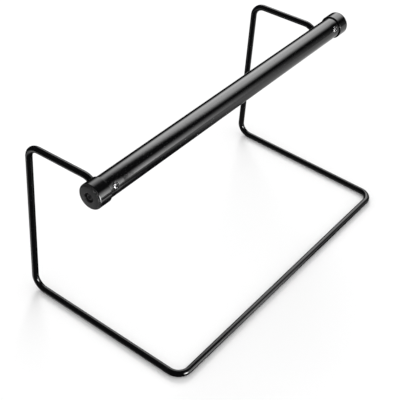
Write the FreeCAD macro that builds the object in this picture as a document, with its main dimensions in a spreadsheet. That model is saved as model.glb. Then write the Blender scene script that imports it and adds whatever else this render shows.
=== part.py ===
"""Paper towel holder: one bent steel wire stands on the table and carries a lift-off bar.

X runs along the bar, the front rail is towards -Y, and Z is up. The origin is the centre of the
footprint, on the table. All sizes are in millimetres and degrees.
"""
import FreeCAD, Part
import math
import os

import Sketcher

SHEET = "Dimensions"

DIMENSIONS = [
    ("wire_diameter", 6, "steel wire of the frame"),
    ("arm_spacing", 320, "between the two side frames, centre to centre"),
    ("frame_depth", 168, "front rail to uprights, centre to centre"),
    ("upright_height", 158, "base rails to the top corners, centre to centre"),
    ("frame_bend", 12, "centre-line radius of the frame's bends"),
    ("arm_rise", 2.5, "degrees that the arms climb towards the bar"),
    ("arm_reach", 63, "uprights to the corner where an arm dips behind the bar"),
    ("peg_rise", 26.3, "degrees that the pegs climb into the bar"),
    ("peg_bend", 6.5, "centre-line radius of the bend under each peg"),
    ("peg_reach", 14, "bar axis to the corner under the peg"),
    ("bar_forward", 85, "uprights to the bar's axis"),
    ("bar_height", 166.4, "table to the bar's axis"),
    ("tube_diameter", 20, "outside of the bar's tube"),
    ("tube_wall", 1.2, "wall of the tube"),
    ("tube_length", 354, "tube, end to end"),
    ("cross_hole", 6.4, "hole drilled across the tube over each peg"),
    ("plug_diameter", 17.5, "plug inside each end of the tube"),
    ("plug_length", 27, "length of a plug"),
    ("peg_bore", 6.2, "blind bore in the plug that takes the peg"),
    ("cap_diameter", 22.4, "outside of an end cap"),
    ("cap_length", 14, "length of an end cap"),
    ("cap_wall", 4, "end wall of a cap"),
    ("cap_rounding", 2, "radius of the cap's outer edge"),
    ("cap_fit", 0.05, "gap between tube and cap, on the radius"),
    ("recess_diameter", 8, "recess in the cap's face"),
    ("recess_depth", 2.6, "depth of that recess"),
    ("cap_screw_thread", 4, "thread of the cap screw"),
    ("cap_screw_length", 13, "cap screw under its head"),
    ("cap_screw_head", 7, "head of the cap screw"),
    ("cap_screw_rise", 1.8, "height of that head"),
    ("cap_screw_key", 2.5, "hexagon key of the cap screw, across flats"),
    ("plug_screw_thread", 3, "thread of the plug screw"),
    ("plug_screw_length", 6, "plug screw under its head"),
    ("plug_screw_head", 6, "head of the plug screw"),
    ("plug_screw_rise", 2, "height of that head"),
    ("plug_screw_key", 2.5, "hexagon key of the plug screw, across flats"),
    ("plug_screw_seat", 8.3, "bar axis to the seat of the plug screw's head"),
    ("thread_gap", 0.05, "gap around a thread, on the radius"),
    ("key_depth", 1.1, "depth of a hexagon socket"),
]


def make_sheet(doc):
    """Write every driving dimension into the spreadsheet, one named cell each."""
    sheet = doc.addObject("Spreadsheet::Sheet", SHEET)
    for row, (alias, value, meaning) in enumerate(DIMENSIONS, start=1):
        sheet.set(f"A{row}", meaning)
        sheet.set(f"B{row}", str(value))
        sheet.setAlias(f"B{row}", alias)
    doc.recompute()
    return sheet


def worked_out(sheet, formula):
    """The value of a formula on the sheet's names, as a plain number."""
    value = sheet.evalExpression(formula)
    return float(getattr(value, "Value", value))


def cells(formula):
    """Write a formula's names the way another object's expression reads them."""
    for alias, _, _ in sorted(DIMENSIONS, key=lambda entry: -len(entry[0])):
        formula = formula.replace(f"[{alias}]", f"{SHEET}.{alias}")
    return formula


def new_body(doc, name):
    """A PartDesign body whose label names its file."""
    body = doc.addObject("PartDesign::Body", name)
    body.Label = name
    return body


def sketch_on(body, name, role, lift=None):
    """A sketch on one of the body's origin planes, lifted off it along its normal by a formula."""
    plane = next(item for item in body.Origin.OriginFeatures if item.Role == role)
    sketch = body.newObject("Sketcher::SketchObject", name)
    sketch.AttachmentSupport = [(plane, "")]
    sketch.MapMode = "FlatFace"
    if lift is not None:
        sketch.setExpression("AttachmentOffset.Base.z", cells(lift))
    return sketch


def hold(sketch, constraint, formula):
    """Add a driving dimension to a sketch and bind it to the sheet."""
    index = sketch.addConstraint(constraint)
    sketch.setExpression(f"Constraints[{index}]", cells(formula))


def place_point(sheet, sketch, line, end, across, along):
    """Fix one end of a line at two formulas; zero puts it on the sketch's axis."""
    for kind, formula, axis in (("DistanceX", across, -2), ("DistanceY", along, -1)):
        if formula == "0":
            sketch.addConstraint(Sketcher.Constraint("PointOnObject", line, end, axis))
            continue
        value = worked_out(sheet, cells(formula))
        hold(sketch, Sketcher.Constraint(kind, -1, 1, line, end, value), formula)


def draw_outline(sheet, sketch, corners):
    """A closed outline of straight lines through corners that are pairs of formulas."""
    points = [FreeCAD.Vector(worked_out(sheet, cells(x)), worked_out(sheet, cells(y)), 0) for x, y in corners]
    count = len(points)
    for index in range(count):
        sketch.addGeometry(Part.LineSegment(points[index], points[(index + 1) % count]), False)
    for index in range(count):
        sketch.addConstraint(Sketcher.Constraint("Coincident", index, 2, (index + 1) % count, 1))
    for index, (across, along) in enumerate(corners):
        place_point(sheet, sketch, index, 1, across, along)


def draw_circle(sheet, sketch, diameter, across="0", along="0"):
    """A circle of a diameter and centre given by formulas."""
    centre = FreeCAD.Vector(worked_out(sheet, cells(across)), worked_out(sheet, cells(along)), 0)
    size = worked_out(sheet, cells(diameter))
    index = sketch.addGeometry(Part.Circle(centre, FreeCAD.Vector(0, 0, 1), size / 2), False)
    hold(sketch, Sketcher.Constraint("Diameter", index, size), diameter)
    place_point(sheet, sketch, index, 3, across, along)


def draw_hexagon(sheet, sketch, flats):
    """A regular hexagon about the sketch's origin, inside a construction circle."""
    corner = worked_out(sheet, cells(flats)) / math.sqrt(3)
    points = [
        FreeCAD.Vector(corner * math.cos(math.pi * side / 3), corner * math.sin(math.pi * side / 3), 0)
        for side in range(6)
    ]
    for side in range(6):
        sketch.addGeometry(Part.LineSegment(points[side], points[(side + 1) % 6]), False)
    circle = sketch.addGeometry(Part.Circle(FreeCAD.Vector(), FreeCAD.Vector(0, 0, 1), corner), True)
    sketch.addConstraint(Sketcher.Constraint("Coincident", circle, 3, -1, 1))
    for side in range(6):
        sketch.addConstraint(Sketcher.Constraint("Coincident", side, 2, (side + 1) % 6, 1))
        sketch.addConstraint(Sketcher.Constraint("PointOnObject", side, 1, circle))
    for side in range(1, 6):
        sketch.addConstraint(Sketcher.Constraint("Equal", 0, side))
    sketch.addConstraint(Sketcher.Constraint("PointOnObject", 0, 1, -1))
    hold(sketch, Sketcher.Constraint("Radius", circle, corner), f"{flats} / sqrt(3)")


def revolve(body, sketch):
    """Turn a profile all the way round the sketch's own horizontal axis."""
    feature = body.newObject("PartDesign::Revolution", f"{body.Name}_turned")
    feature.Profile = sketch
    feature.ReferenceAxis = (sketch, ["H_Axis"])
    feature.Angle = 360
    return feature


def pad(body, sketch, length, midplane=False):
    """Extrude a profile by a formula, on one side of the sketch or evenly on both."""
    feature = body.newObject("PartDesign::Pad", f"{sketch.Name}_pad")
    feature.Profile = sketch
    feature.Midplane = midplane
    feature.setExpression("Length", cells(length))
    return feature


def pocket(doc, body, sketch, length=None, reversed_cut=False):
    """Cut a profile by a formula, or right through both ways, and check that it takes material away."""
    before = body.Tip.Shape.Volume
    feature = body.newObject("PartDesign::Pocket", f"{sketch.Name}_pocket")
    feature.Profile = sketch
    feature.Reversed = reversed_cut
    if length is None:
        feature.Type = "ThroughAll"
        feature.Midplane = True
    else:
        feature.setExpression("Length", cells(length))
    doc.recompute()
    if feature.Shape.isNull() or feature.Shape.Volume >= before:
        raise RuntimeError(f"{feature.Name} cuts nothing")
    return feature


def place_on_bar(piece, side, along, tilted):
    """Put a piece on the bar's axis: its own +X runs outwards, and tilted pieces follow the pegs."""
    outwards = FreeCAD.Rotation(FreeCAD.Vector(0, 0, 1), 0 if side > 0 else 180)
    piece.Placement = FreeCAD.Placement(FreeCAD.Vector(), outwards)
    if tilted:
        piece.Placement.Rotation = FreeCAD.Rotation(FreeCAD.Vector(-1, 0, 0), 1)
        piece.setExpression("Placement.Rotation.Angle", cells("[peg_rise] * 1 deg"))
    piece.setExpression("Placement.Base.x", cells(f"{side} * ({along})"))
    piece.setExpression("Placement.Base.y", cells("[frame_depth] / 2 - [bar_forward]"))
    piece.setExpression("Placement.Base.z", cells("[bar_height]"))


def rounded_path(corners, radii):
    """A wire of straight runs joined by tangent arcs; the first and last corners are its ends."""
    edges = []
    start = corners[0]
    for before, corner, after, radius in zip(corners, corners[1:], corners[2:], radii):
        back = (before - corner).normalize()
        ahead = (after - corner).normalize()
        half_turn = (math.pi - back.getAngle(ahead)) / 2
        run_out = radius * math.tan(half_turn)
        inwards = (back + ahead).normalize()
        middle = corner + inwards * (radius / math.cos(half_turn) - radius)
        arc_start = corner + back * run_out
        arc_end = corner + ahead * run_out
        edges.append(Part.LineSegment(start, arc_start).toShape())
        edges.append(Part.Arc(arc_start, middle, arc_end).toShape())
        start = arc_end
    edges.append(Part.LineSegment(start, corners[-1]).toShape())
    return Part.Wire(edges)


def side_corners(sheet, side):
    """Corners of one side frame, from the peg's tip on the bar's axis down to the front rail."""
    x = side * sheet.arm_spacing / 2
    back = sheet.frame_depth / 2
    base = sheet.wire_diameter / 2
    top = base + sheet.upright_height
    rise = math.radians(sheet.arm_rise)
    climb = math.radians(sheet.peg_rise)
    bar_axis = FreeCAD.Vector(x, back - sheet.bar_forward, sheet.bar_height)
    peg_way = FreeCAD.Vector(0, -math.cos(climb), math.sin(climb))
    return [
        bar_axis,
        bar_axis - peg_way * sheet.peg_reach,
        FreeCAD.Vector(x, back - sheet.arm_reach, top + sheet.arm_reach * math.tan(rise)),
        FreeCAD.Vector(x, back, top),
        FreeCAD.Vector(x, back, base),
        FreeCAD.Vector(x, -back, base),
    ]


def make_wire_frame(doc, sheet):
    """One wire, swept from peg to peg: arm, upright, side rail, front rail and back up."""
    left = side_corners(sheet, -1)
    right = side_corners(sheet, 1)
    side_radii = [sheet.peg_bend] + [sheet.frame_bend] * (len(left) - 2)
    path = doc.addObject("Part::Feature", "wire_path")
    path.Shape = rounded_path(left + right[::-1], side_radii + side_radii[::-1])
    section = doc.addObject("Part::Circle", "wire_section")
    section.setExpression("Radius", cells("[wire_diameter] / 2"))
    along = (left[1] - left[0]).normalize()
    section.Placement = FreeCAD.Placement(left[0], FreeCAD.Rotation(FreeCAD.Vector(0, 0, 1), along))
    frame = doc.addObject("Part::Sweep", "wire_frame")
    frame.Sections = [section]
    frame.Spine = path
    frame.Solid = True
    frame.Frenet = False
    doc.recompute()
    whole = math.pi / 4 * sheet.wire_diameter**2 * path.Shape.Length
    if abs(frame.Shape.Volume / whole - 1) > 0.002:
        raise RuntimeError("the swept wire's volume is not its section times its length")
    return frame


def make_bar_tube(doc, sheet):
    """A tube on the bar's axis, cross-drilled over both pegs."""
    body = new_body(doc, "bar_tube")
    ring = sketch_on(body, "tube_ring", "YZ_Plane")
    draw_circle(sheet, ring, "[tube_diameter]")
    draw_circle(sheet, ring, "[tube_diameter] - 2 * [tube_wall]")
    pad(body, ring, "[tube_length]", midplane=True)
    doc.recompute()
    for side in (-1, 1):
        hole = sketch_on(body, "tube_hole_left" if side < 0 else "tube_hole_right", "XZ_Plane")
        draw_circle(sheet, hole, "[cross_hole]", across=f"{side} * [arm_spacing] / 2")
        pocket(doc, body, hole)
    place_on_bar(body, 1, "0", tilted=True)
    return body


def make_bar_plug(doc, sheet, side, word):
    """A plug inside the tube: a blind bore for the peg behind, a screw in front, a screw at its end."""
    body = new_body(doc, f"{word}_bar_plug")
    inner = "[tube_length] / 2 - [plug_length]"
    disc = sketch_on(body, f"{word}_plug_disc", "YZ_Plane", inner if side > 0 else "-[tube_length] / 2")
    draw_circle(sheet, disc, "[plug_diameter]")
    pad(body, disc, "[plug_length]")
    doc.recompute()
    centre = f"{side} * [arm_spacing] / 2"
    bore = sketch_on(body, f"{word}_plug_bore", "XZ_Plane")
    draw_circle(sheet, bore, "[peg_bore]", across=centre)
    pocket(doc, body, bore, "[plug_diameter]")
    seat = sketch_on(body, f"{word}_plug_seat", "XZ_Plane", "[plug_screw_seat]")
    draw_circle(sheet, seat, "[peg_bore]", across=centre)
    pocket(doc, body, seat, "[plug_diameter]", reversed_cut=True)
    front_hole = sketch_on(body, f"{word}_plug_front_hole", "XZ_Plane", "[plug_screw_seat]")
    draw_circle(sheet, front_hole, "[plug_screw_thread] + 2 * [thread_gap]", across=centre)
    pocket(doc, body, front_hole, "[plug_screw_length] + 0.3")
    end_hole = sketch_on(body, f"{word}_plug_end_hole", "YZ_Plane", f"{side} * [tube_length] / 2")
    draw_circle(sheet, end_hole, "[cap_screw_thread] + 2 * [thread_gap]")
    depth = "[cap_screw_length] - [cap_wall] + [recess_depth] + 0.3"
    pocket(doc, body, end_hole, depth, reversed_cut=side < 0)
    place_on_bar(body, 1, "0", tilted=True)
    return body


def make_end_cap(doc, sheet, side, word):
    """A turned cap over the tube's end, with a rounded outer edge and a recess for its screw."""
    body = new_body(doc, f"{word}_end_cap")
    profile = sketch_on(body, f"{word}_cap_profile", "XY_Plane")
    socket = "[cap_length] - [cap_wall]"
    floor = "[cap_length] - [recess_depth]"
    shank = "[cap_screw_thread] / 2 + [thread_gap]"
    draw_outline(sheet, profile, [
        ("0", "[tube_diameter] / 2 + [cap_fit]"),
        ("0", "[cap_diameter] / 2"),
        ("[cap_length]", "[cap_diameter] / 2"),
        ("[cap_length]", "[recess_diameter] / 2"),
        (floor, "[recess_diameter] / 2"),
        (floor, shank),
        (socket, shank),
        (socket, "[tube_diameter] / 2 + [cap_fit]"),
    ])
    turned = revolve(body, profile)
    doc.recompute()
    rim = sheet.cap_diameter / 2
    edges = [
        f"Edge{number}"
        for number, edge in enumerate(turned.Shape.Edges, start=1)
        if edge.BoundBox.XMin > sheet.cap_length - 0.01 and edge.BoundBox.YMax > rim - 0.01
    ]
    rounding = body.newObject("PartDesign::Fillet", f"{word}_cap_rounding")
    rounding.Base = (turned, edges)
    rounding.setExpression("Radius", cells("[cap_rounding]"))
    place_on_bar(body, side, "[tube_length] / 2 - [cap_length] + [cap_wall]", tilted=False)
    return body


def make_screw(doc, sheet, name, size):
    """A button-head screw along its own X: shank below zero, domed head above, hexagon socket in it."""
    body = new_body(doc, name)
    profile = sketch_on(body, f"{name}_profile", "XY_Plane")
    thread = f"[{size}_thread] / 2"
    head = f"[{size}_head] / 2"
    rise = f"[{size}_rise]"
    draw_outline(sheet, profile, [
        ("0", "0"),
        ("0", thread),
        (f"[{size}_length]", thread),
        (f"[{size}_length]", head),
        (f"[{size}_length] + 0.35 * {rise}", head),
        (f"[{size}_length] + 0.8 * {rise}", f"0.82 * {head}"),
        (f"[{size}_length] + {rise}", f"0.6 * {head}"),
        (f"[{size}_length] + {rise}", "0"),
    ])
    revolve(body, profile)
    doc.recompute()
    top = f"[{size}_length] + {rise}"
    socket = sketch_on(body, f"{name}_socket", "YZ_Plane", top)
    draw_hexagon(sheet, socket, f"[{size}_key]")
    pocket(doc, body, socket, "[key_depth]")
    return body


def make_cap_screw(doc, sheet, side, word):
    """The screw in the cap's recess, driven along the bar into the plug."""
    screw = make_screw(doc, sheet, f"{word}_cap_screw", "cap_screw")
    foot = "[tube_length] / 2 + [cap_wall] - [recess_depth] - [cap_screw_length]"
    place_on_bar(screw, side, foot, tilted=False)
    return screw


def make_plug_screw(doc, sheet, side, word):
    """The screw in the front cross hole: it points back along the peg's line and pins the plug."""
    screw = make_screw(doc, sheet, f"{word}_plug_screw", "plug_screw")
    climb = math.radians(sheet.peg_rise)
    outwards = FreeCAD.Vector(0, -math.cos(climb), math.sin(climb))
    screw.Placement = FreeCAD.Placement(
        FreeCAD.Vector(), FreeCAD.Rotation(FreeCAD.Vector(1, 0, 0), outwards)
    )
    foot = "([plug_screw_seat] - [plug_screw_length])"
    screw.setExpression("Placement.Base.x", cells(f"{side} * [arm_spacing] / 2"))
    screw.setExpression(
        "Placement.Base.y",
        cells(f"[frame_depth] / 2 - [bar_forward] - {foot} * cos([peg_rise] * 1 deg)"),
    )
    screw.setExpression(
        "Placement.Base.z", cells(f"[bar_height] + {foot} * sin([peg_rise] * 1 deg)")
    )
    return screw


def check_document(doc, pieces):
    """Stop if any object failed to compute or any piece is empty or broken."""
    for item in doc.Objects:
        if "Invalid" in item.State or "Error" in item.State:
            raise RuntimeError(f"{item.Name} is {item.State}")
    for piece in pieces:
        if piece.Shape.isNull() or not piece.Shape.isValid():
            raise RuntimeError(f"{piece.Label} has no valid shape")
        if len(piece.Shape.Solids) != 1:
            raise RuntimeError(f"{piece.Label} is not one solid")


def main():
    doc = FreeCAD.newDocument("paper_towel_holder")
    sheet = make_sheet(doc)
    pieces = [make_wire_frame(doc, sheet), make_bar_tube(doc, sheet)]
    for side, word in ((-1, "left"), (1, "right")):
        pieces.append(make_bar_plug(doc, sheet, side, word))
        pieces.append(make_end_cap(doc, sheet, side, word))
        pieces.append(make_cap_screw(doc, sheet, side, word))
        pieces.append(make_plug_screw(doc, sheet, side, word))
    doc.recompute()
    check_document(doc, pieces)
    os.makedirs("parts", exist_ok=True)
    for piece in pieces:
        box = piece.Shape.BoundBox
        print(f"{piece.Label}: volume {piece.Shape.Volume:.1f}, x {box.XMin:.2f} to {box.XMax:.2f},"
              f" y {box.YMin:.2f} to {box.YMax:.2f}, z {box.ZMin:.2f} to {box.ZMax:.2f}")
        piece.Shape.exportStep(f"parts/{piece.Label}.step")


main()
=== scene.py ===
"""The looks of a paper towel holder: a bent wire frame that carries a lift-off roll bar.

Lengths are in metres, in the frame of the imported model: X along the bar, front towards -Y, Z up.
"""

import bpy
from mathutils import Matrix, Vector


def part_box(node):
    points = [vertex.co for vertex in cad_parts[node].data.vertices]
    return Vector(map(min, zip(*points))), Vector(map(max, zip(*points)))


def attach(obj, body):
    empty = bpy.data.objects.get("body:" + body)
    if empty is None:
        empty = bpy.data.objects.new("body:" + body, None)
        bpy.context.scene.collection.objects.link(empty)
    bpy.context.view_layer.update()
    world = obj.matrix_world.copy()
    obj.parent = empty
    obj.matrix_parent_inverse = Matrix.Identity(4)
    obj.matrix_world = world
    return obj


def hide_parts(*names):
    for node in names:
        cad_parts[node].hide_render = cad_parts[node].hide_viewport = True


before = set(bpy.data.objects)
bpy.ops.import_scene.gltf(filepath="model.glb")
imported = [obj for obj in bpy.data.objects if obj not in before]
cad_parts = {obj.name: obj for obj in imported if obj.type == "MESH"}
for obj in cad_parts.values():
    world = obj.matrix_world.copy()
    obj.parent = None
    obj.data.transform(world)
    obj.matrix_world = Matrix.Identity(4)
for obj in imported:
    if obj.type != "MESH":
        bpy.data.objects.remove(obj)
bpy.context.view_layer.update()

import math

import bpy
import numpy as np
from bpy.props import FloatProperty, FloatVectorProperty, PointerProperty
from mathutils import Matrix, Vector

bl_info = {
    "name": "Paper Towel Holder",
    "version": (1, 0, 0),
    "blender": (4, 5, 0),
    "location": "3D View > Sidebar > Towel Holder",
    "description": "Builds a wire paper towel holder around its packed frame",
    "category": "Object",
}

MM = 0.001
SIDES = (("left", -1), ("right", 1))

WIRE_LOW, WIRE_HIGH = (np.array(corner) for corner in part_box("wire_frame"))
TUBE_LOW, TUBE_HIGH = (np.array(corner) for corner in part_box("bar_tube"))
CAP_LOW, CAP_HIGH = (np.array(corner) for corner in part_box("right_end_cap"))
CAP_SCREW_LOW, CAP_SCREW_HIGH = (np.array(corner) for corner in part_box("right_cap_screw"))
PLUG_SCREW_LOW, PLUG_SCREW_HIGH = (np.array(corner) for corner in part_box("right_plug_screw"))
BAR_AXIS = (TUBE_LOW + TUBE_HIGH) / 2
TUBE_RADIUS = (TUBE_HIGH[2] - TUBE_LOW[2]) / 2
CAP_RADIUS = (CAP_HIGH[2] - CAP_LOW[2]) / 2
SCREW_SPACING = (PLUG_SCREW_LOW[0] + PLUG_SCREW_HIGH[0]) / 2
X_AXIS = np.array((1.0, 0.0, 0.0))
Z_AXIS = np.array((0.0, 0.0, 1.0))

AROUND_TUBE = 96
TUBE_STEP = 2 * math.pi / AROUND_TUBE
PATCH = 8
PATCH_RINGS = 6

COLOUR_A, COLOUR_B, COLOUR_OUT = 6, 7, 2


def length_property(name, description, default, **limits):
    """A length in metres, shown with its unit."""
    return FloatProperty(
        name=name, description=description, default=default,
        subtype="DISTANCE", unit="LENGTH", precision=5, **limits
    )


def angle_property(name, description, degrees):
    """An angle, kept in radians and given here in degrees."""
    return FloatProperty(
        name=name, description=description, default=math.radians(degrees),
        subtype="ANGLE", unit="ROTATION"
    )


def index_property(name, description, default):
    """An index of refraction."""
    return FloatProperty(name=name, description=description, default=default, min=1.0, max=3.0)


def share_property(name, description, default, high=1.0):
    """A plain number from nought up."""
    return FloatProperty(name=name, description=description, default=default, min=0.0, max=high)


def colour_property(name, description, default):
    """A linear colour."""
    return FloatVectorProperty(
        name=name, description=description, default=default,
        subtype="COLOR", size=3, min=0.0, max=1.0
    )


class HolderShape(bpy.types.PropertyGroup):
    """Sizes of the bent wire, the bar and its fittings."""

    wire_diameter: length_property("Wire diameter", "Thickness of the frame's steel wire", 6 * MM)
    frame_bend: length_property("Frame bend", "Centre-line radius of the frame's bends", 12 * MM)
    arm_height: length_property("Arm height", "Table to the arms' back corners", 161 * MM)
    arm_rise: angle_property("Arm rise", "Climb of the arms towards the bar", 2.5)
    arm_dip: length_property("Arm dip", "Bar axis to the corner where an arm dips", 22 * MM)
    peg_rise: angle_property("Peg rise", "Climb of the pegs into the bar", 26.3)
    peg_bend: length_property("Peg bend", "Centre-line radius of the bend under a peg", 6.5 * MM)
    peg_reach: length_property("Peg reach", "Bar axis to the corner under a peg", 14 * MM)
    tip_rounding: length_property("Tip rounding", "Rounding of the pegs' cut ends", 0.7 * MM)
    tube_wall: length_property("Tube wall", "Wall of the bar's tube", 1.2 * MM)
    cross_hole: length_property("Cross hole", "Holes drilled across the tube", 6.4 * MM)
    tube_edge: length_property("Tube edge", "Rounding of the tube's drilled and cut edges", 0.2 * MM)
    dimple_depth: length_property("Dimple depth", "How far the screws pull the tube in", 0.5 * MM)
    dimple_spread: length_property("Dimple spread", "How far that dimple reaches", 4.5 * MM)
    cap_fit: length_property("Cap fit", "Gap between the tube and a cap, on the radius", 0.05 * MM)
    cap_socket: length_property("Cap socket", "Depth of the socket that takes the tube", 10 * MM)
    cap_rounding: length_property("Cap rounding", "Radius of a cap's outer edge", 2.2 * MM)
    cap_crown: length_property("Cap crown", "How far a cap's face stands out in the middle", 0.7 * MM)
    cap_lip: length_property("Cap lip", "Radius of a cap's small edges", 0.4 * MM)
    recess_diameter: length_property("Recess", "Recess in a cap's face", 8 * MM)
    recess_lip: length_property("Recess lip", "Radius of the recess's edge", 0.55 * MM)
    recess_depth: length_property("Recess depth", "Depth of that recess", 2.6 * MM)
    cap_bore: length_property("Cap bore", "Hole through a cap for its screw", 4.1 * MM)
    cap_screw_thread: length_property("Cap screw thread", "Thickness of a cap screw", 4 * MM)
    cap_screw_head: length_property("Cap screw head", "Width of a cap screw's head", 7 * MM)
    cap_screw_rise: length_property("Cap screw rise", "Height of a cap screw's head", 1.8 * MM)
    cap_screw_key: length_property("Cap screw key", "Its hexagon socket, across flats", 2.5 * MM)
    cap_key_depth: length_property("Cap key depth", "Depth of that socket", 1.1 * MM)
    plug_screw_thread: length_property("Plug screw thread", "Thickness of a plug screw", 3 * MM)
    plug_screw_length: length_property("Plug screw length", "Plug screw under its head", 6 * MM)
    plug_screw_head: length_property("Plug screw head", "Width of a plug screw's head", 6 * MM)
    plug_screw_rise: length_property("Plug screw rise", "Height of a plug screw's head", 2 * MM)
    plug_screw_key: length_property("Plug screw key", "Its hexagon socket, across flats", 2.5 * MM)
    plug_key_depth: length_property("Plug key depth", "Depth of that socket", 1.4 * MM)
    plug_screw_seat: length_property("Plug screw seat", "Bar axis to a plug screw's seat", 8.3 * MM)


class HolderFinish(bpy.types.PropertyGroup):
    """Colours and surface detail of the paint, plastic and steel."""

    paint: colour_property("Paint", "Black of the painted steel", (0.0032, 0.0032, 0.0035))
    paint_roughness: share_property("Paint roughness", "Blur of reflections in the paint", 0.07)
    wire_index: index_property("Wire index", "Refractive index of the wire's paint", 1.36)
    bar_index: index_property("Bar index", "Refractive index of the bar's paint", 1.5)
    plastic_index: index_property("Plastic index", "Refractive index of the caps' plastic", 1.5)
    peel: share_property("Orange peel", "Ripple left in the paint as it flowed", 0.06)
    cap_side: colour_property("Cap side", "Black of the caps' polished sides", (0.004, 0.004, 0.0043))
    cap_face: colour_property("Cap face", "Dark grey of the caps' satin faces", (0.016, 0.016, 0.0165))
    steel: colour_property("Steel", "Dark plated steel of the button screws", (0.24, 0.24, 0.242))
    blacked: colour_property("Blacked steel", "Black finished cap screws", (0.022, 0.022, 0.023))
    steel_roughness: share_property("Steel roughness", "Blur of reflections in the plating", 0.36)
    blacked_roughness: share_property("Blacked roughness", "Blur of reflections in the black", 0.30)
    plug: colour_property("Plug", "Moulded plastic of the hidden plugs", (0.03, 0.03, 0.03))


class HolderStudio(bpy.types.PropertyGroup):
    """The camera, the floor and the light panels."""

    aim: FloatVectorProperty(
        name="Aim", description="Point that the camera looks at", size=3,
        default=(-0.0414, -0.0071, 0.08), subtype="XYZ", unit="LENGTH"
    )
    azimuth: angle_property("Azimuth", "Camera's way round; 0 looks along +Y", -55.77)
    elevation: angle_property("Elevation", "Camera's angle above the horizon", 40.07)
    roll: angle_property("Roll", "Camera's turn about its own line of sight", -5.1)
    distance: length_property("Distance", "Camera to the aim", 0.8809)
    lens: FloatProperty(name="Lens", description="Focal length in millimetres", default=88.4)
    daylight: share_property("Daylight", "Even light on the floor from all round", 1.12, 10)
    back_panel: share_property("Back panel", "Brightness of the panel above and behind", 5.2, 100)
    front_panel: share_property("Front panel", "Brightness of the panel in front", 5.5, 100)
    spot: share_property("Spot", "Brightness of the small front light", 60.0, 200)
    rear_panel: share_property("Rear panel", "Brightness of the low panel behind the left end", 1.6, 100)
    room: share_property("Room", "Brightness of all that surrounds the stage", 0.8)
    dark_room: share_property("Dark room", "Brightness of the room as paint mirrors it", 0.015, 10)
    floor_glow: share_property("Floor glow", "Brightness of the floor in reflections", 0.85, 10)
    key: share_property("Key", "Strength of the soft light from behind", 1.4, 100)
    key_softness: angle_property("Key softness", "How wide that light is in the sky", 24)
    key_height: angle_property("Key height", "How high that light stands", 37)
    key_azimuth: angle_property("Key azimuth", "Way that light comes from; 0 is +Y", 48)


# ---------------------------------------------------------------- surfaces


def outward(points, quads):
    """Turn the faces over if they point inwards.

    They do if the volume under them, summed as thin tetrahedra from the origin, is negative.
    """
    a, b, c, d = (points[quads[:, k]] for k in range(4))
    volume = np.einsum("ij,ij->", np.cross(a, b), c) + np.einsum("ij,ij->", np.cross(a, c), d)
    return quads if volume > 0 else quads[:, ::-1]


def new_piece(name, points, quads, material, body, slot, *nodes):
    """Make a mesh piece from points and four-cornered faces; a face with a repeated corner is a triangle."""
    quads = outward(points, quads)
    faces = [tuple(dict.fromkeys(face)) for face in quads.tolist()]
    mesh = bpy.data.meshes.new(name)
    mesh.from_pydata(points.tolist(), [], faces)
    mesh.polygons.foreach_set("use_smooth", np.ones(len(faces), bool))
    mesh.materials.append(material)
    mesh.update()
    piece = bpy.data.objects.new(name, mesh)
    bpy.context.scene.collection.objects.link(piece)
    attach(piece, body)
    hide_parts(*nodes)
    return piece


def ring_quads(rings, around, closed):
    """Faces between neighbouring rings of points; closed joins the last ring to the first."""
    ring, step = np.meshgrid(np.arange(rings if closed else rings - 1), np.arange(around), indexing="ij")
    ahead = (ring + 1) % rings
    turned = (step + 1) % around
    here, there = ring * around, ahead * around
    corners = np.stack((here + step, here + turned, there + turned, there + step), -1)
    return corners.reshape(-1, 4)


def skin(rings, closed):
    """Cover an array of rings: closed rings make a doughnut, others are shut by a pole at each end."""
    count, around = rings.shape[:2]
    points = rings.reshape(-1, 3)
    quads = ring_quads(count, around, closed)
    if closed:
        return points, quads
    poles = np.stack((rings[0].mean(0), rings[-1].mean(0)))
    step = np.arange(around)
    turned = (step + 1) % around
    first = np.full(around, len(points))
    last = (count - 1) * around
    fan_start = np.stack((first, turned, step, first), -1)
    fan_end = np.stack((first + 1, last + step, last + turned, first + 1), -1)
    return np.vstack((points, poles)), np.vstack((quads, fan_start, fan_end))


def unit(vectors):
    """Vectors scaled to length one."""
    return vectors / np.linalg.norm(vectors, axis=-1, keepdims=True)


def rounded_line(corners, radii, samples=14, support=0.0):
    """Round the inner corners of an open line: each becomes an arc that meets both runs at a tangent.

    An arc point is centre + radius * (cos turn * start + sin turn * ahead), with the turn in even
    steps. Support adds a point just outside each arc, so that flat runs shade flat.
    """
    parts = [corners[:1]]
    for before, corner, after, radius in zip(corners, corners[1:], corners[2:], radii):
        back, ahead = unit(before - corner), unit(after - corner)
        whole_turn = math.pi - math.acos(np.clip(back @ ahead, -1, 1))
        run_out = radius * math.tan(whole_turn / 2)
        start_way = -unit(ahead + back * math.cos(whole_turn))
        centre = corner + back * run_out - start_way * radius
        turn = np.linspace(0, whole_turn, samples)[:, None]
        arc = centre + radius * (np.cos(turn) * start_way - np.sin(turn) * back)
        if support:
            arc = np.vstack((arc[0] + back * support, arc, arc[-1] + ahead * support))
        parts.append(arc)
    parts.append(corners[-1:])
    return np.vstack(parts)


def closed_outline(corners, radii, support):
    """A closed outline with rounded corners, started halfway along its last run."""
    start = (corners[0] + corners[-1]) / 2
    return rounded_line(np.vstack((start, corners, start)), radii, 7, support)[:-1]


def lathe(profile, origin, way, start_way, around=144, closed=False):
    """Carry a profile of (along, out) pairs round an axis: origin + way * along + out * turned way."""
    turn = np.linspace(0, 2 * math.pi, around, endpoint=False)
    out = np.cos(turn)[:, None] * start_way + np.sin(turn)[:, None] * np.cross(way, start_way)
    rings = origin + profile[:, None, :1] * way + profile[:, None, 1:] * out
    return skin(rings, closed)


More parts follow.
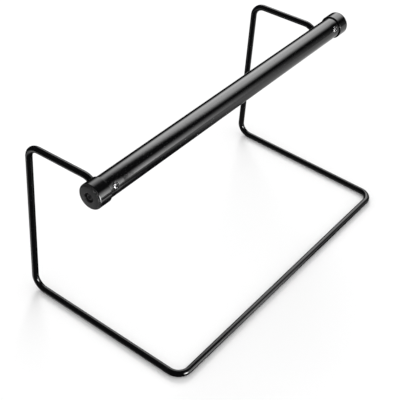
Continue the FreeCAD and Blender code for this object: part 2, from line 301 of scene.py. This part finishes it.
def peg_frame(shape):
    """Outward way of the pegs' line in front of the bar, and the way across it, both square to the bar."""
    climb = shape.peg_rise
    return (
        np.array((0.0, -math.cos(climb), math.sin(climb))),
        np.array((0.0, math.sin(climb), math.cos(climb))),
    )


# ---------------------------------------------------------------- finishes


class Signal:
    """One number that varies over a surface; sums and products of it add Math nodes."""

    def __init__(self, maker, socket):
        self.maker = maker
        self.socket = socket

    def combine(self, operation, *values):
        return self.maker.node("ShaderNodeMath", {"operation": operation}, dict(enumerate(values)))

    def __add__(self, other):
        return self.combine("ADD", self, other)

    def __radd__(self, other):
        return self.combine("ADD", other, self)

    def __sub__(self, other):
        return self.combine("SUBTRACT", self, other)

    def __rsub__(self, other):
        return self.combine("SUBTRACT", other, self)

    def __mul__(self, other):
        return self.combine("MULTIPLY", self, other)

    def __rmul__(self, other):
        return self.combine("MULTIPLY", other, self)

    def at_least(self, other):
        return self.combine("MAXIMUM", self, other)

    def size(self):
        return self.combine("ABSOLUTE", self)

    def exponent(self):
        return self.combine("EXPONENT", self)

    def root(self):
        return self.combine("SQRT", self)

    def sine(self):
        return self.combine("SINE", self)

    def bearing(self, other):
        """The angle whose tangent is this over the other, all the way round."""
        return self.combine("ARCTAN2", self, other)

    def step(self, low, high):
        """Nought below low, one above high and smooth between."""
        ranges = {"Value": self, "From Min": low, "From Max": high}
        return self.maker.node(
            "ShaderNodeMapRange", {"interpolation_type": "SMOOTHSTEP", "clamp": True}, ranges
        )


class NodeMaker:
    """Adds nodes to one shader, from their type, settings and inputs."""

    def __init__(self, tree):
        self.tree = tree
        self.tree.nodes.clear()

    def node(self, kind, settings=None, inputs=None, output=0):
        """Make a node, set it up, feed its inputs with values or signals, and return one output."""
        made = self.tree.nodes.new(kind)
        for name, value in (settings or {}).items():
            setattr(made, name, value)
        for name, value in (inputs or {}).items():
            if isinstance(value, Signal):
                self.tree.links.new(value.socket, made.inputs[name])
            else:
                made.inputs[name].default_value = value
        return Signal(self, made.outputs[output]) if made.outputs else made

    def place(self):
        """Where a point lies on the object, in metres."""
        return self.node("ShaderNodeTexCoord", output="Object")

    def noise(self, place, scale, detail=2.0, roughness=0.5):
        """Smooth uneven shades of grey at so many waves to the metre."""
        inputs = {"Vector": place, "Scale": scale, "Detail": detail, "Roughness": roughness}
        return self.node("ShaderNodeTexNoise", None, inputs)

    def along(self, place):
        """The three numbers of a place or a direction."""
        parts = self.node("ShaderNodeSeparateXYZ", None, {"Vector": place}).socket.node.outputs
        return [Signal(self, part) for part in parts]

    def blend(self, share, first, second):
        """Two colours mixed by a share."""
        inputs = {"Factor": share, COLOUR_A: (*first, 1.0), COLOUR_B: (*second, 1.0)}
        return self.node("ShaderNodeMix", {"data_type": "RGBA"}, inputs, COLOUR_OUT)

    def bump(self, height, strength, distance):
        """A surface normal that follows a height."""
        return self.node(
            "ShaderNodeBump", None, {"Height": height, "Strength": strength, "Distance": distance}
        )


def principled(maker, inputs):
    """Close a material with one Principled surface."""
    surface = maker.node("ShaderNodeBsdfPrincipled", None, inputs)
    maker.node("ShaderNodeOutputMaterial", None, {"Surface": surface})


def shining(maker, strength):
    """Close a material with light alone, as strong as a signal says."""
    glow = maker.node("ShaderNodeEmission", None, {"Color": strength})
    maker.node("ShaderNodeOutputMaterial", None, {"Surface": glow})


def new_finish(name):
    """An empty material and the maker of its nodes."""
    material = bpy.data.materials.get(name) or bpy.data.materials.new(name)
    material.use_nodes = True
    return material, NodeMaker(material.node_tree)


def gloss_paint(name, finish, peel_scale, index):
    """Gloss black paint on steel: orange peel ripples, faint cloudy haze and a few specks of dust."""
    material, maker = new_finish(name)
    place = maker.place()
    haze = maker.noise(place, 28.0, 3.0)
    peel = maker.noise(place, peel_scale, 1.0)
    grain = maker.noise(place, peel_scale * 6.0, 2.0)
    dust = maker.noise(place, 1500.0, 0.0).step(0.73, 0.80)
    lighter = tuple(min(1.0, 5.0 * part + 0.01) for part in finish.paint)
    rough = finish.paint_roughness + 0.05 * haze.step(0.42, 0.75) + 0.25 * dust
    height = 0.85 * peel + 0.15 * grain
    principled(maker, {
        "Base Color": maker.blend(dust * 0.5, tuple(finish.paint), lighter),
        "Roughness": rough,
        "IOR": index,
        "Normal": maker.bump(height, finish.peel, 0.4 * MM),
    })
    return material


def cap_plastic(name, finish, face_x):
    """Moulded plastic: polished black side, satin dark grey face with a fine spark-eroded grain."""
    material, maker = new_finish(name)
    place = maker.place()
    x_part, _, _ = maker.along(place)
    face = x_part.size().step(face_x - 2.3 * MM, face_x - 1.4 * MM)
    grain = maker.noise(place, 2600.0, 3.0, 0.6)
    cloud = maker.noise(place, 90.0, 2.0)
    rough = 0.06 + 0.36 * face + 0.05 * cloud + 0.06 * face * grain
    share = face * (0.85 + 0.3 * cloud)
    principled(maker, {
        "Base Color": maker.blend(share, tuple(finish.cap_side), tuple(finish.cap_face)),
        "Roughness": rough,
        "IOR": finish.plastic_index,
        "Normal": maker.bump(grain * face + 0.3 * cloud, 0.12, 0.1 * MM),
    })
    return material


def screw_steel(name, colour, roughness, metallic, centre, way):
    """Turned steel: fine rings round the screw's axis, with plating that is a little uneven."""
    material, maker = new_finish(name)
    place = maker.place()
    offset = maker.node("ShaderNodeVectorMath", {"operation": "SUBTRACT"}, {0: place, 1: tuple(centre)})
    lift = maker.node(
        "ShaderNodeVectorMath", {"operation": "DOT_PRODUCT"}, {0: offset, 1: tuple(way)}, "Value"
    )
    whole = maker.node("ShaderNodeVectorMath", {"operation": "LENGTH"}, {0: offset}, "Value")
    out = (whole * whole - lift * lift).at_least(0.0).root()
    ring_spacing = 0.12 * MM
    rings = (out * (2 * math.pi / ring_spacing)).sine()
    cloud = maker.noise(place, 700.0, 3.0)
    darker = tuple(0.55 * part for part in colour)
    principled(maker, {
        "Base Color": maker.blend(cloud.step(0.35, 0.7), darker, tuple(colour)),
        "Metallic": metallic,
        "Roughness": roughness + 0.12 * cloud,
        "Normal": maker.bump(rings + 2.0 * cloud, 0.08, 0.02 * MM),
    })
    return material


def plug_plastic(name, finish):
    """Plain moulded plastic with a matt grain, for what the tube hides."""
    material, maker = new_finish(name)
    place = maker.place()
    grain = maker.noise(place, 1400.0, 3.0)
    cloud = maker.noise(place, 60.0, 2.0)
    paler = tuple(1.6 * part for part in finish.plug)
    principled(maker, {
        "Base Color": maker.blend(cloud, tuple(finish.plug), paler),
        "Roughness": 0.5 + 0.15 * grain,
        "Normal": maker.bump(grain, 0.2, 0.1 * MM),
    })
    return material


# ---------------------------------------------------------------- pieces


def side_corners(shape, side):
    """Corners of one side of the wire's centre line, from the peg's tip down to the front rail."""
    radius = shape.wire_diameter / 2
    x = side * (WIRE_HIGH[0] - radius)
    back, front = WIRE_HIGH[1] - radius, WIRE_LOW[1] + radius
    peg_way, _ = peg_frame(shape)
    tip = np.array((x, BAR_AXIS[1], BAR_AXIS[2]))
    dip_y = BAR_AXIS[1] + shape.arm_dip
    dip_z = shape.arm_height + (back - dip_y) * math.tan(shape.arm_rise)
    return np.array((
        tip,
        tip - peg_way * shape.peg_reach,
        (x, dip_y, dip_z),
        (x, back, shape.arm_height),
        (x, back, radius),
        (x, front, radius),
    ))


def wire_sections(shape, line, bend_ways):
    """Rings round the wire: line + radius * (cos turn * bend way + sin turn * (tangent x bend way)).

    The tips shrink along a quarter circle, so the cut ends are rounded.
    """
    radius, rounding = shape.wire_diameter / 2, shape.tip_rounding
    tangents = unit(np.gradient(line, axis=0))
    across = unit(bend_ways - np.einsum("ij,ij->i", bend_ways, tangents)[:, None] * tangents)
    turn = np.linspace(0, 2 * math.pi, 40, endpoint=False)[None, :, None]
    ways = np.cos(turn) * across[:, None] + np.sin(turn) * np.cross(tangents, across)[:, None]
    quarter = np.linspace(0, math.pi / 2, 6)
    inset = (rounding * (1 - np.cos(quarter)))[:, None]
    narrow = radius - rounding + rounding * np.sin(quarter)
    start = line[0] + tangents[0] * inset
    end = line[-1] - tangents[-1] * inset
    start_rings = start[:, None] + narrow[:, None, None] * ways[0]
    end_rings = (end[:, None] + narrow[:, None, None] * ways[-1])[::-1]
    return np.vstack((start_rings, line[1:-1, None] + radius * ways[1:-1], end_rings))


def even_line(line, spacing):
    """Add points to the long straight runs, so that no run is much longer than the spacing."""
    parts = [line[:1]]
    for start, end in zip(line, line[1:]):
        count = max(1, math.ceil(np.linalg.norm(end - start) / spacing))
        parts.append(start + (end - start) * (np.arange(1, count + 1) / count)[:, None])
    return np.vstack(parts)


class HOLDER_OT_wire_frame(bpy.types.Operator):
    """Bend the frame's wire from peg to peg"""

    bl_idname = "holder.wire_frame"
    bl_label = "Wire Frame"

    def execute(self, context):
        shape, finish = context.scene.holder_shape, context.scene.holder_finish
        left, right = (side_corners(shape, side) for _, side in SIDES)
        radii = [shape.peg_bend] + [shape.frame_bend] * (len(left) - 2)
        corners = np.vstack((left, right[::-1]))
        line = even_line(rounded_line(corners, radii + radii[::-1], 20), 2 * shape.wire_diameter)
        hair = 0.001 * MM
        on_front = line[:, 1] < WIRE_LOW[1] + shape.wire_diameter / 2 + shape.frame_bend + hair
        tangents = unit(np.gradient(line, axis=0))
        front_ways = np.cross(Z_AXIS, tangents)
        side_ways = -np.sign(line[:, :1]) * X_AXIS
        bend_ways = np.where(on_front[:, None], front_ways, side_ways)
        points, quads = skin(wire_sections(shape, line, bend_ways), closed=False)
        paint = gloss_paint("black_wire_paint", finish, 380.0, finish.wire_index)
        new_piece("frame_wire", points, quads, paint, "frame", "frame_paint", "wire_frame")
        return {"FINISHED"}


def tube_lines(shape):
    """The tube's places along X: closer together over each hole, so that a square patch fits there."""
    half = (TUBE_HIGH[0] - TUBE_LOW[0]) / 2
    reach = PATCH * TUBE_STEP * TUBE_RADIUS
    near, far = SCREW_SPACING - reach, SCREW_SPACING + reach
    end = np.linspace(far, half, 12)[1:]
    over = np.linspace(near, far, 2 * PATCH + 1)
    beside = np.linspace(near - 3 * reach, near, 20)[:-1]
    middle = np.linspace(3 * reach - near, near - 3 * reach, 31)[1:-1]
    return np.concatenate((-end[::-1], -over[::-1], -beside[::-1], middle, beside, over, end))


def drilled_sheet(shape, radius):
    """The tube's wall unrolled: places (along, turn) at one radius, and the faces between them.

    Round each hole a square patch of the grid gives way to rings that go evenly from the square to
    the drilled circle, which on the unrolled wall is (hole * cos, arcsin(hole * sin / radius)).
    """
    lines = tube_lines(shape)
    turns = np.arange(AROUND_TUBE) * TUBE_STEP
    place = np.stack(np.meshgrid(lines, turns, indexing="ij"), -1).reshape(-1, 2)
    column, row = np.meshgrid(np.arange(len(lines) - 1), np.arange(AROUND_TUBE), indexing="ij")
    kept = np.ones(column.shape, bool)
    index = np.arange(len(place)).reshape(len(lines), AROUND_TUBE)
    faces, places = [], [place]
    for side in (-1, 1):
        for turn_row in (0, AROUND_TUBE // 2):
            middle = int(np.argmin(abs(lines - side * SCREW_SPACING)))
            rows_off = (row - turn_row + AROUND_TUBE // 2) % AROUND_TUBE - AROUND_TUBE // 2
            kept &= ~(
                (column >= middle - PATCH) & (column < middle + PATCH)
                & (rows_off >= -PATCH) & (rows_off < PATCH)
            )
            span = np.arange(-PATCH, PATCH)
            edge = np.full(2 * PATCH, PATCH)
            across = np.concatenate((span, edge, -span, -edge))
            up = np.concatenate((-edge, span, edge, -span))
            square = index[middle + across, (turn_row + up) % AROUND_TUBE]
            corner = np.stack((lines[middle + across] - lines[middle], up * TUBE_STEP), -1)
            bearing = np.arctan2(corner[:, 1] * TUBE_RADIUS, corner[:, 0])
            hole = shape.cross_hole / 2
            circle = np.stack((hole * np.cos(bearing), np.arcsin(hole * np.sin(bearing) / radius)), -1)
            share = (np.arange(1, PATCH_RINGS + 1) / PATCH_RINGS)[:, None, None]
            rings = corner + (circle - corner) * share + (lines[middle], turn_row * TUBE_STEP)
            first = sum(len(part) for part in places)
            places.append(rings.reshape(-1, 2))
            added = first + np.arange(PATCH_RINGS * len(square)).reshape(PATCH_RINGS, -1)
            ladder = np.vstack((square, added))
            ahead = np.roll(ladder, -1, axis=1)
            patch = np.stack((ladder[:-1], ahead[:-1], ahead[1:], ladder[1:]), -1)
            faces.append(patch.reshape(-1, 4))
    beyond = np.roll(index, -1, axis=1)
    grid = np.stack((index[:-1], index[1:], beyond[1:], beyond[:-1]), -1)
    faces.insert(0, grid[kept])
    return np.vstack(places), np.vstack(faces)


def tube_points(shape, place, radius):
    """Roll a sheet up: bar axis + X * along + radius * (cos turn * peg way + sin turn * across way)."""
    peg_way, across_way = peg_frame(shape)
    along, turn = place[:, :1], place[:, 1:]
    out = np.cos(turn) * peg_way + np.sin(turn) * across_way
    return BAR_AXIS + along * X_AXIS + radius * out


def screw_dimple(shape, place):
    """How far the tightened screws pull the wall in: depth * exp(-(distance / spread) squared)."""
    turn = (place[:, 1] + math.pi) % (2 * math.pi) - math.pi
    along = abs(place[:, 0]) - SCREW_SPACING
    distance = np.hypot(along, turn * TUBE_RADIUS)
    return (shape.dimple_depth * np.exp(-((distance / shape.dimple_spread) ** 2)))[:, None]


def walled(outer, inner, faces):
    """Close an outer and an inner sheet into one wall: every open edge gets a face between the two."""
    count = len(outer)
    edges = np.stack((faces, np.roll(faces, -1, axis=1)), -1).reshape(-1, 2)
    is_open = ~np.isin(edges[:, 0] * count + edges[:, 1], edges[:, 1] * count + edges[:, 0])
    start, end = edges[is_open].T
    rims = np.stack((end, start, start + count, end + count), -1)
    quads = np.vstack((faces, faces[:, ::-1] + count, rims))
    used, quads = np.unique(quads, return_inverse=True)
    return np.vstack((outer, inner))[used], quads.reshape(-1, 4)


class HOLDER_OT_roll_bar(bpy.types.Operator):
    """Draw the tube that the roll hangs on, drilled across at both ends"""

    bl_idname = "holder.roll_bar"
    bl_label = "Roll Bar"

    def execute(self, context):
        shape, finish = context.scene.holder_shape, context.scene.holder_finish
        inner_radius = TUBE_RADIUS - shape.tube_wall
        outer_place, faces = drilled_sheet(shape, TUBE_RADIUS)
        inner_place, _ = drilled_sheet(shape, inner_radius)
        outer = tube_points(shape, outer_place, TUBE_RADIUS - screw_dimple(shape, outer_place))
        inner = tube_points(shape, inner_place, inner_radius)
        points, quads = walled(outer, inner, faces)
        paint = gloss_paint("black_bar_paint", finish, 260.0, finish.bar_index)
        piece = new_piece("roll_bar", points, quads, paint, "bar", "bar_paint", "bar_tube")
        bevel = piece.modifiers.new("eased_edges", "BEVEL")
        bevel.width = shape.tube_edge
        bevel.segments = 3
        bevel.limit_method = "ANGLE"
        bevel.angle_limit = math.radians(50)
        bevel.harden_normals = True
        return {"FINISHED"}


def cap_outline(shape):
    """Outline of a cap's section as (along, out) from its shoulder, with its corners' radii."""
    length = CAP_HIGH[0] - CAP_LOW[0]
    bore, recess = shape.cap_bore / 2, shape.recess_diameter / 2
    socket = TUBE_RADIUS + shape.cap_fit
    floor = length - shape.recess_depth
    lip = shape.cap_lip
    share = np.linspace(1, 0, 6)
    crown = np.stack((length - shape.cap_crown * share**2, recess + (CAP_RADIUS - recess) * share), -1)
    corners = np.vstack((
        ((0, socket), (0, CAP_RADIUS)), crown,
        ((floor, recess), (floor, bore), (shape.cap_socket, bore), (shape.cap_socket, socket)),
    ))
    soft = 6 * MM
    face_radii = [shape.cap_rounding] + [soft] * (len(share) - 2) + [shape.recess_lip]
    return corners, [lip] * 2 + face_radii + [lip / 2] * 4


class HOLDER_OT_end_caps(bpy.types.Operator):
    """Turn both end caps"""

    bl_idname = "holder.end_caps"
    bl_label = "End Caps"

    def execute(self, context):
        shape, finish = context.scene.holder_shape, context.scene.holder_finish
        support = 0.04 * MM
        plastic = cap_plastic("black_cap_plastic", finish, CAP_HIGH[0])
        corners, radii = cap_outline(shape)
        profile = closed_outline(corners, radii, support)
        for word, side in SIDES:
            shoulder = np.array((side * CAP_LOW[0], BAR_AXIS[1], BAR_AXIS[2]))
            points, quads = lathe(profile, shoulder, side * X_AXIS, Z_AXIS, closed=True)
            new_piece(f"cap_{word}", points, quads, plastic, "bar", "cap_plastic", f"{word}_end_cap")
        return {"FINISHED"}


def button_screw(foot, way, start_way, length, thread, head, rise, flats, depth):
    """A button-head screw: rings from the socket's floor, up its walls, over the dome and down the shank.

    A ring's radius goes from round to six-sided by a share: flats / 2 / cos(turn from the nearest flat).
    """
    top = length + rise
    dome = np.linspace(math.radians(28), math.radians(90), 12)
    dome_out = head * np.sin(dome) * 0.5
    dome_along = length + 0.3 * rise + 0.7 * rise * np.cos(dome) / math.cos(dome[0])
    flat = flats / 2
    rim = 0.06 * MM
    along_out_six = [
        (top - depth - 0.25 * flat, 0.02 * flat, 0),
        (top - depth, 0.93 * flat, 1),
        (top - depth + rim, flat, 1),
        (top - 3 * rim, flat, 1),
        (top - rim, flat + 1.5 * rim, 0.9),
        (top, flat + 3 * rim, 0.5),
    ]
    along_out_six += [(a, o, 0) for a, o in zip(dome_along, dome_out)]
    along_out_six += [
        (length + 0.12 * rise, head / 2, 0),
        (length + 0.03 * rise, head / 2 - rim / 2, 0),
        (length, head / 2 - rim, 0),
        (length, thread / 2 + rim, 0),
        (length - rim, thread / 2, 0),
        (3 * rim, thread / 2, 0),
        (0, thread / 2 - 3 * rim, 0),
    ]
    table = np.array(along_out_six)
    turn = np.linspace(0, 2 * math.pi, 96, endpoint=False)
    six = 1 / np.cos(turn % (math.pi / 3) - math.pi / 6)
    reach = table[:, 1:2] * (1 + table[:, 2:] * (six - 1))
    ways = np.cos(turn)[:, None] * start_way + np.sin(turn)[:, None] * np.cross(way, start_way)
    rings = foot + table[:, :1, None] * way + reach[..., None] * ways
    return skin(rings, closed=False)


class HOLDER_OT_screws(bpy.types.Operator):
    """Make the button screws in the tube and the screws in the caps"""

    bl_idname = "holder.screws"
    bl_label = "Screws"

    def execute(self, context):
        shape, finish = context.scene.holder_shape, context.scene.holder_finish
        peg_way, _ = peg_frame(shape)
        cap_length = CAP_SCREW_HIGH[0] - CAP_SCREW_LOW[0] - shape.cap_screw_rise
        for word, side in SIDES:
            foot = np.array((side * CAP_SCREW_LOW[0], BAR_AXIS[1], BAR_AXIS[2]))
            way = side * X_AXIS
            points, quads = button_screw(
                foot, way, Z_AXIS, cap_length, shape.cap_screw_thread, shape.cap_screw_head,
                shape.cap_screw_rise, shape.cap_screw_key, shape.cap_key_depth
            )
            blacked = screw_steel(
                f"blacked_steel_{word}", finish.blacked, finish.blacked_roughness, 0.0, foot, way
            )
            name = f"{word}_cap_screw"
            new_piece(f"cap_screw_{word}", points, quads, blacked, "bar", "screw_black", name)
            middle = BAR_AXIS + side * SCREW_SPACING * X_AXIS
            foot = middle + peg_way * (shape.plug_screw_seat - shape.plug_screw_length)
            points, quads = button_screw(
                foot, peg_way, X_AXIS, shape.plug_screw_length, shape.plug_screw_thread,
                shape.plug_screw_head, shape.plug_screw_rise, shape.plug_screw_key, shape.plug_key_depth
            )
            steel = screw_steel(
                f"plated_steel_{word}", finish.steel, finish.steel_roughness, 1.0, foot, peg_way
            )
            name = f"{word}_plug_screw"
            new_piece(f"button_screw_{word}", points, quads, steel, "bar", "screw_steel", name)
        return {"FINISHED"}


class HOLDER_OT_plugs(bpy.types.Operator):
    """Give the hidden plugs their moulded plastic"""

    bl_idname = "holder.plugs"
    bl_label = "Plugs"

    def execute(self, context):
        plastic = plug_plastic("moulded_plug_plastic", context.scene.holder_finish)
        for word, _ in SIDES:
            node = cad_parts[f"{word}_bar_plug"]
            node.data.materials.clear()
            node.data.materials.append(plastic)
        return {"FINISHED"}


# ---------------------------------------------------------------- studio


def stage_mesh(name, points, quads, material):
    """A mesh that belongs to the studio."""
    mesh = bpy.data.meshes.new(name)
    mesh.from_pydata(points.tolist(), [], quads.tolist())
    mesh.materials.append(material)
    made = bpy.data.objects.new(name, mesh)
    bpy.context.scene.collection.objects.link(made)
    return made


def flat_sheet(low_x, high_x, side, height):
    """Corners and the one face of a level sheet that reaches as far to the front as to the back."""
    outline = ((low_x, -side), (high_x, -side), (high_x, side), (low_x, side))
    return np.array([(x, y, height) for x, y in outline]), np.array(((0, 1, 2, 3),))


def gloss_only(made):
    """Let only reflections see a piece of the studio."""
    made.visible_camera = False
    made.visible_diffuse = False
    made.visible_shadow = False
    made.visible_transmission = False


def make_floor_glow(studio):
    """The floor as paint mirrors it: dark under the holder and pale beyond its right side."""
    material, maker = new_finish("floor_glow")
    x_part, y_part, _ = maker.along(maker.place())
    near, far, side = 0.05, 4.0, 3.0
    share = x_part.step(near, 0.34) * (1.0 - y_part.step(0.12, 0.35))
    shining(maker, studio.floor_glow * share)
    material.cycles.emission_sampling = "NONE"
    gloss_only(stage_mesh("floor_glow", *flat_sheet(near, far, side, -1 * MM), material))


def light_panel(name, radius, turns, places, glow_of):
    """A curved panel round the bar's line: bar axis + radius * (front * cos turn + up * sin turn), along X.

    Only reflections see it. Its light is what glow_of makes of the turn in degrees and the place along X.
    """
    steps = 24
    turn, x = np.meshgrid(np.radians(np.linspace(*turns, steps + 1)), places, indexing="ij")
    y, z = BAR_AXIS[1] - radius * np.cos(turn), BAR_AXIS[2] + radius * np.sin(turn)
    points = np.stack((x, y, z), -1).reshape(-1, 3)
    start = np.arange(0, 2 * steps, 2)
    quads = np.stack((start, start + 1, start + 3, start + 2), -1)
    material, maker = new_finish(name)
    x_part, y_part, z_part = maker.along(maker.place())
    angle = (z_part - BAR_AXIS[2]).bearing(BAR_AXIS[1] - y_part) * (180 / math.pi)
    shining(maker, glow_of(angle, x_part))
    material.cycles.emission_sampling = "NONE"
    gloss_only(stage_mesh(name, points, quads, material))


def soft_patch(name, radius, turns, places, strength):
    """A panel whose light fades from its middle to its edges."""

    def glow(angle, x):
        across = 1.0 - (angle - sum(turns) / 2).size().step(0.0, (turns[1] - turns[0]) / 2)
        return strength * across * (1.0 - (x - sum(places) / 2).size().step(0.0, (places[1] - places[0]) / 2))

    light_panel(name, radius, turns, places, glow)


def make_panels(studio):
    """A broad panel above and behind, one in front that fades to the right, and two by the left end."""

    def back_glow(angle, x):
        lean = 40.0 * (1.0 - x.step(0.82, 1.45))
        across = (angle - lean).step(52.0, 99.0) * (1.0 - angle.step(138.0, 170.0))
        return studio.back_panel * across * x.step(0.5, 1.15) * (1.0 - 0.4 * x.step(1.5, 2.4))

    def front_glow(angle, x):
        fade = ((x - 0.8).at_least(0.0) * (-1 / 0.27)).exponent()
        across = angle.step(-56.0, -3.0) * (1.0 - angle.step(-1.0, 44.0))
        gap = x.step(0.685, 0.705) * (1.0 - x.step(0.735, 0.755)) * angle.step(-16.0, -4.0)
        return studio.front_panel * fade * across * x.step(-0.2, 0.2) * (1.0 - gap)

    light_panel("back_panel", 1.5, (52.0, 172.0), (0.4, 2.9), back_glow)
    light_panel("front_panel", 1.2, (-66.0, 46.0), (-0.2, 2.4), front_glow)
    soft_patch("front_spot", 1.15, (-24.0, 24.0), (-0.55, 0.15), studio.spot)
    soft_patch("rear_panel", 1.2, (-163.0, -93.0), (-1.3, -0.2), studio.rear_panel)


def make_world(studio):
    """White all round for the eye and for the floor; reflections see a dark room."""
    world = bpy.data.worlds.new("white_studio")
    bpy.context.scene.world = world
    world.use_nodes = True
    maker = NodeMaker(world.node_tree)
    seen = maker.node("ShaderNodeLightPath", output="Is Camera Ray")
    mirrored = maker.node("ShaderNodeLightPath", output="Is Glossy Ray")
    scattered = (1.0 - seen - mirrored).at_least(0.0)
    level = seen + mirrored * studio.dark_room + scattered * studio.daylight
    sky = maker.node("ShaderNodeBackground", None, {"Color": level, "Strength": studio.room})
    maker.node("ShaderNodeOutputWorld", None, {"Surface": sky})


def make_floor():
    """A wide pale floor that reflections don't see."""
    material, maker = new_finish("pale_floor")
    place = maker.place()
    cloud = maker.noise(place, 3.0, 2.0)
    principled(maker, {
        "Base Color": maker.blend(cloud, (0.90, 0.90, 0.90), (0.92, 0.92, 0.92)),
        "Roughness": 0.9,
        "Specular IOR Level": 0.0,
    })
    reach = 20.0
    floor = stage_mesh("pale_floor", *flat_sheet(-reach, reach, reach, 0.0), material)
    floor.visible_glossy = False


def make_key_light(studio):
    """One broad soft light from behind on the right, for the soft shadow beside each rail."""
    light = bpy.data.lights.new("soft_key", "SUN")
    light.energy = studio.key
    light.angle = studio.key_softness
    lamp = bpy.data.objects.new("soft_key", light)
    bpy.context.scene.collection.objects.link(lamp)
    around, up = studio.key_azimuth, studio.key_height
    source = Vector((math.sin(around) * math.cos(up), math.cos(around) * math.cos(up), math.sin(up)))
    lamp.rotation_euler = source.to_track_quat("Z", "Y").to_euler()
    lamp.visible_glossy = False


def make_camera(studio):
    """A camera on a sphere about its aim, turned about its own line of sight by the roll."""
    around, up = studio.azimuth, studio.elevation
    away = Vector((
        math.sin(around) * math.cos(up), -math.cos(around) * math.cos(up), math.sin(up)
    ))
    camera_data = bpy.data.cameras.new("camera")
    camera_data.lens = studio.lens
    camera_data.sensor_width = 36.0
    camera_data.clip_start = 0.01
    camera = bpy.data.objects.new("camera", camera_data)
    bpy.context.scene.collection.objects.link(camera)
    level = (-away).to_track_quat("-Z", "Y").to_matrix().to_4x4()
    turned = Matrix.Rotation(studio.roll, 4, -away)
    camera.matrix_world = Matrix.Translation(Vector(studio.aim) + away * studio.distance) @ turned @ level
    bpy.context.scene.camera = camera


class HOLDER_OT_stage(bpy.types.Operator):
    """Set up the floor, the lights and the camera"""

    bl_idname = "holder.stage"
    bl_label = "Stage"

    def execute(self, context):
        studio = context.scene.holder_studio
        context.scene.view_settings.view_transform = "Standard"
        make_world(studio)
        make_floor()
        make_key_light(studio)
        make_panels(studio)
        make_floor_glow(studio)
        make_camera(studio)
        return {"FINISHED"}


class HOLDER_PT_sidebar(bpy.types.Panel):
    """Lists the holder's pieces and its stage"""

    bl_label = "Towel Holder"
    bl_idname = "HOLDER_PT_sidebar"
    bl_space_type = "VIEW_3D"
    bl_region_type = "UI"
    bl_category = "Towel Holder"

    def draw(self, context):
        for operator in MAKERS:
            self.layout.operator(operator.bl_idname)
        for group in ("holder_shape", "holder_finish", "holder_studio"):
            settings = getattr(context.scene, group)
            box = self.layout.box()
            for name in settings.__annotations__:
                box.prop(settings, name)


MAKERS = (
    HOLDER_OT_stage,
    HOLDER_OT_wire_frame,
    HOLDER_OT_roll_bar,
    HOLDER_OT_end_caps,
    HOLDER_OT_screws,
    HOLDER_OT_plugs,
)
GROUPS = (HolderShape, HolderFinish, HolderStudio)
CLASSES = GROUPS + MAKERS + (HOLDER_PT_sidebar,)


def register():
    for item in CLASSES:
        bpy.utils.register_class(item)
    bpy.types.Scene.holder_shape = PointerProperty(type=HolderShape)
    bpy.types.Scene.holder_finish = PointerProperty(type=HolderFinish)
    bpy.types.Scene.holder_studio = PointerProperty(type=HolderStudio)


def unregister():
    for name in ("holder_shape", "holder_finish", "holder_studio"):
        delattr(bpy.types.Scene, name)
    for item in reversed(CLASSES):
        bpy.utils.unregister_class(item)


def main():
    """Build the stage and every piece."""
    register()
    bpy.ops.holder.stage()
    bpy.ops.holder.wire_frame()
    bpy.ops.holder.roll_bar()
    bpy.ops.holder.end_caps()
    bpy.ops.holder.screws()
    bpy.ops.holder.plugs()


if __name__ == "__main__":
    main()
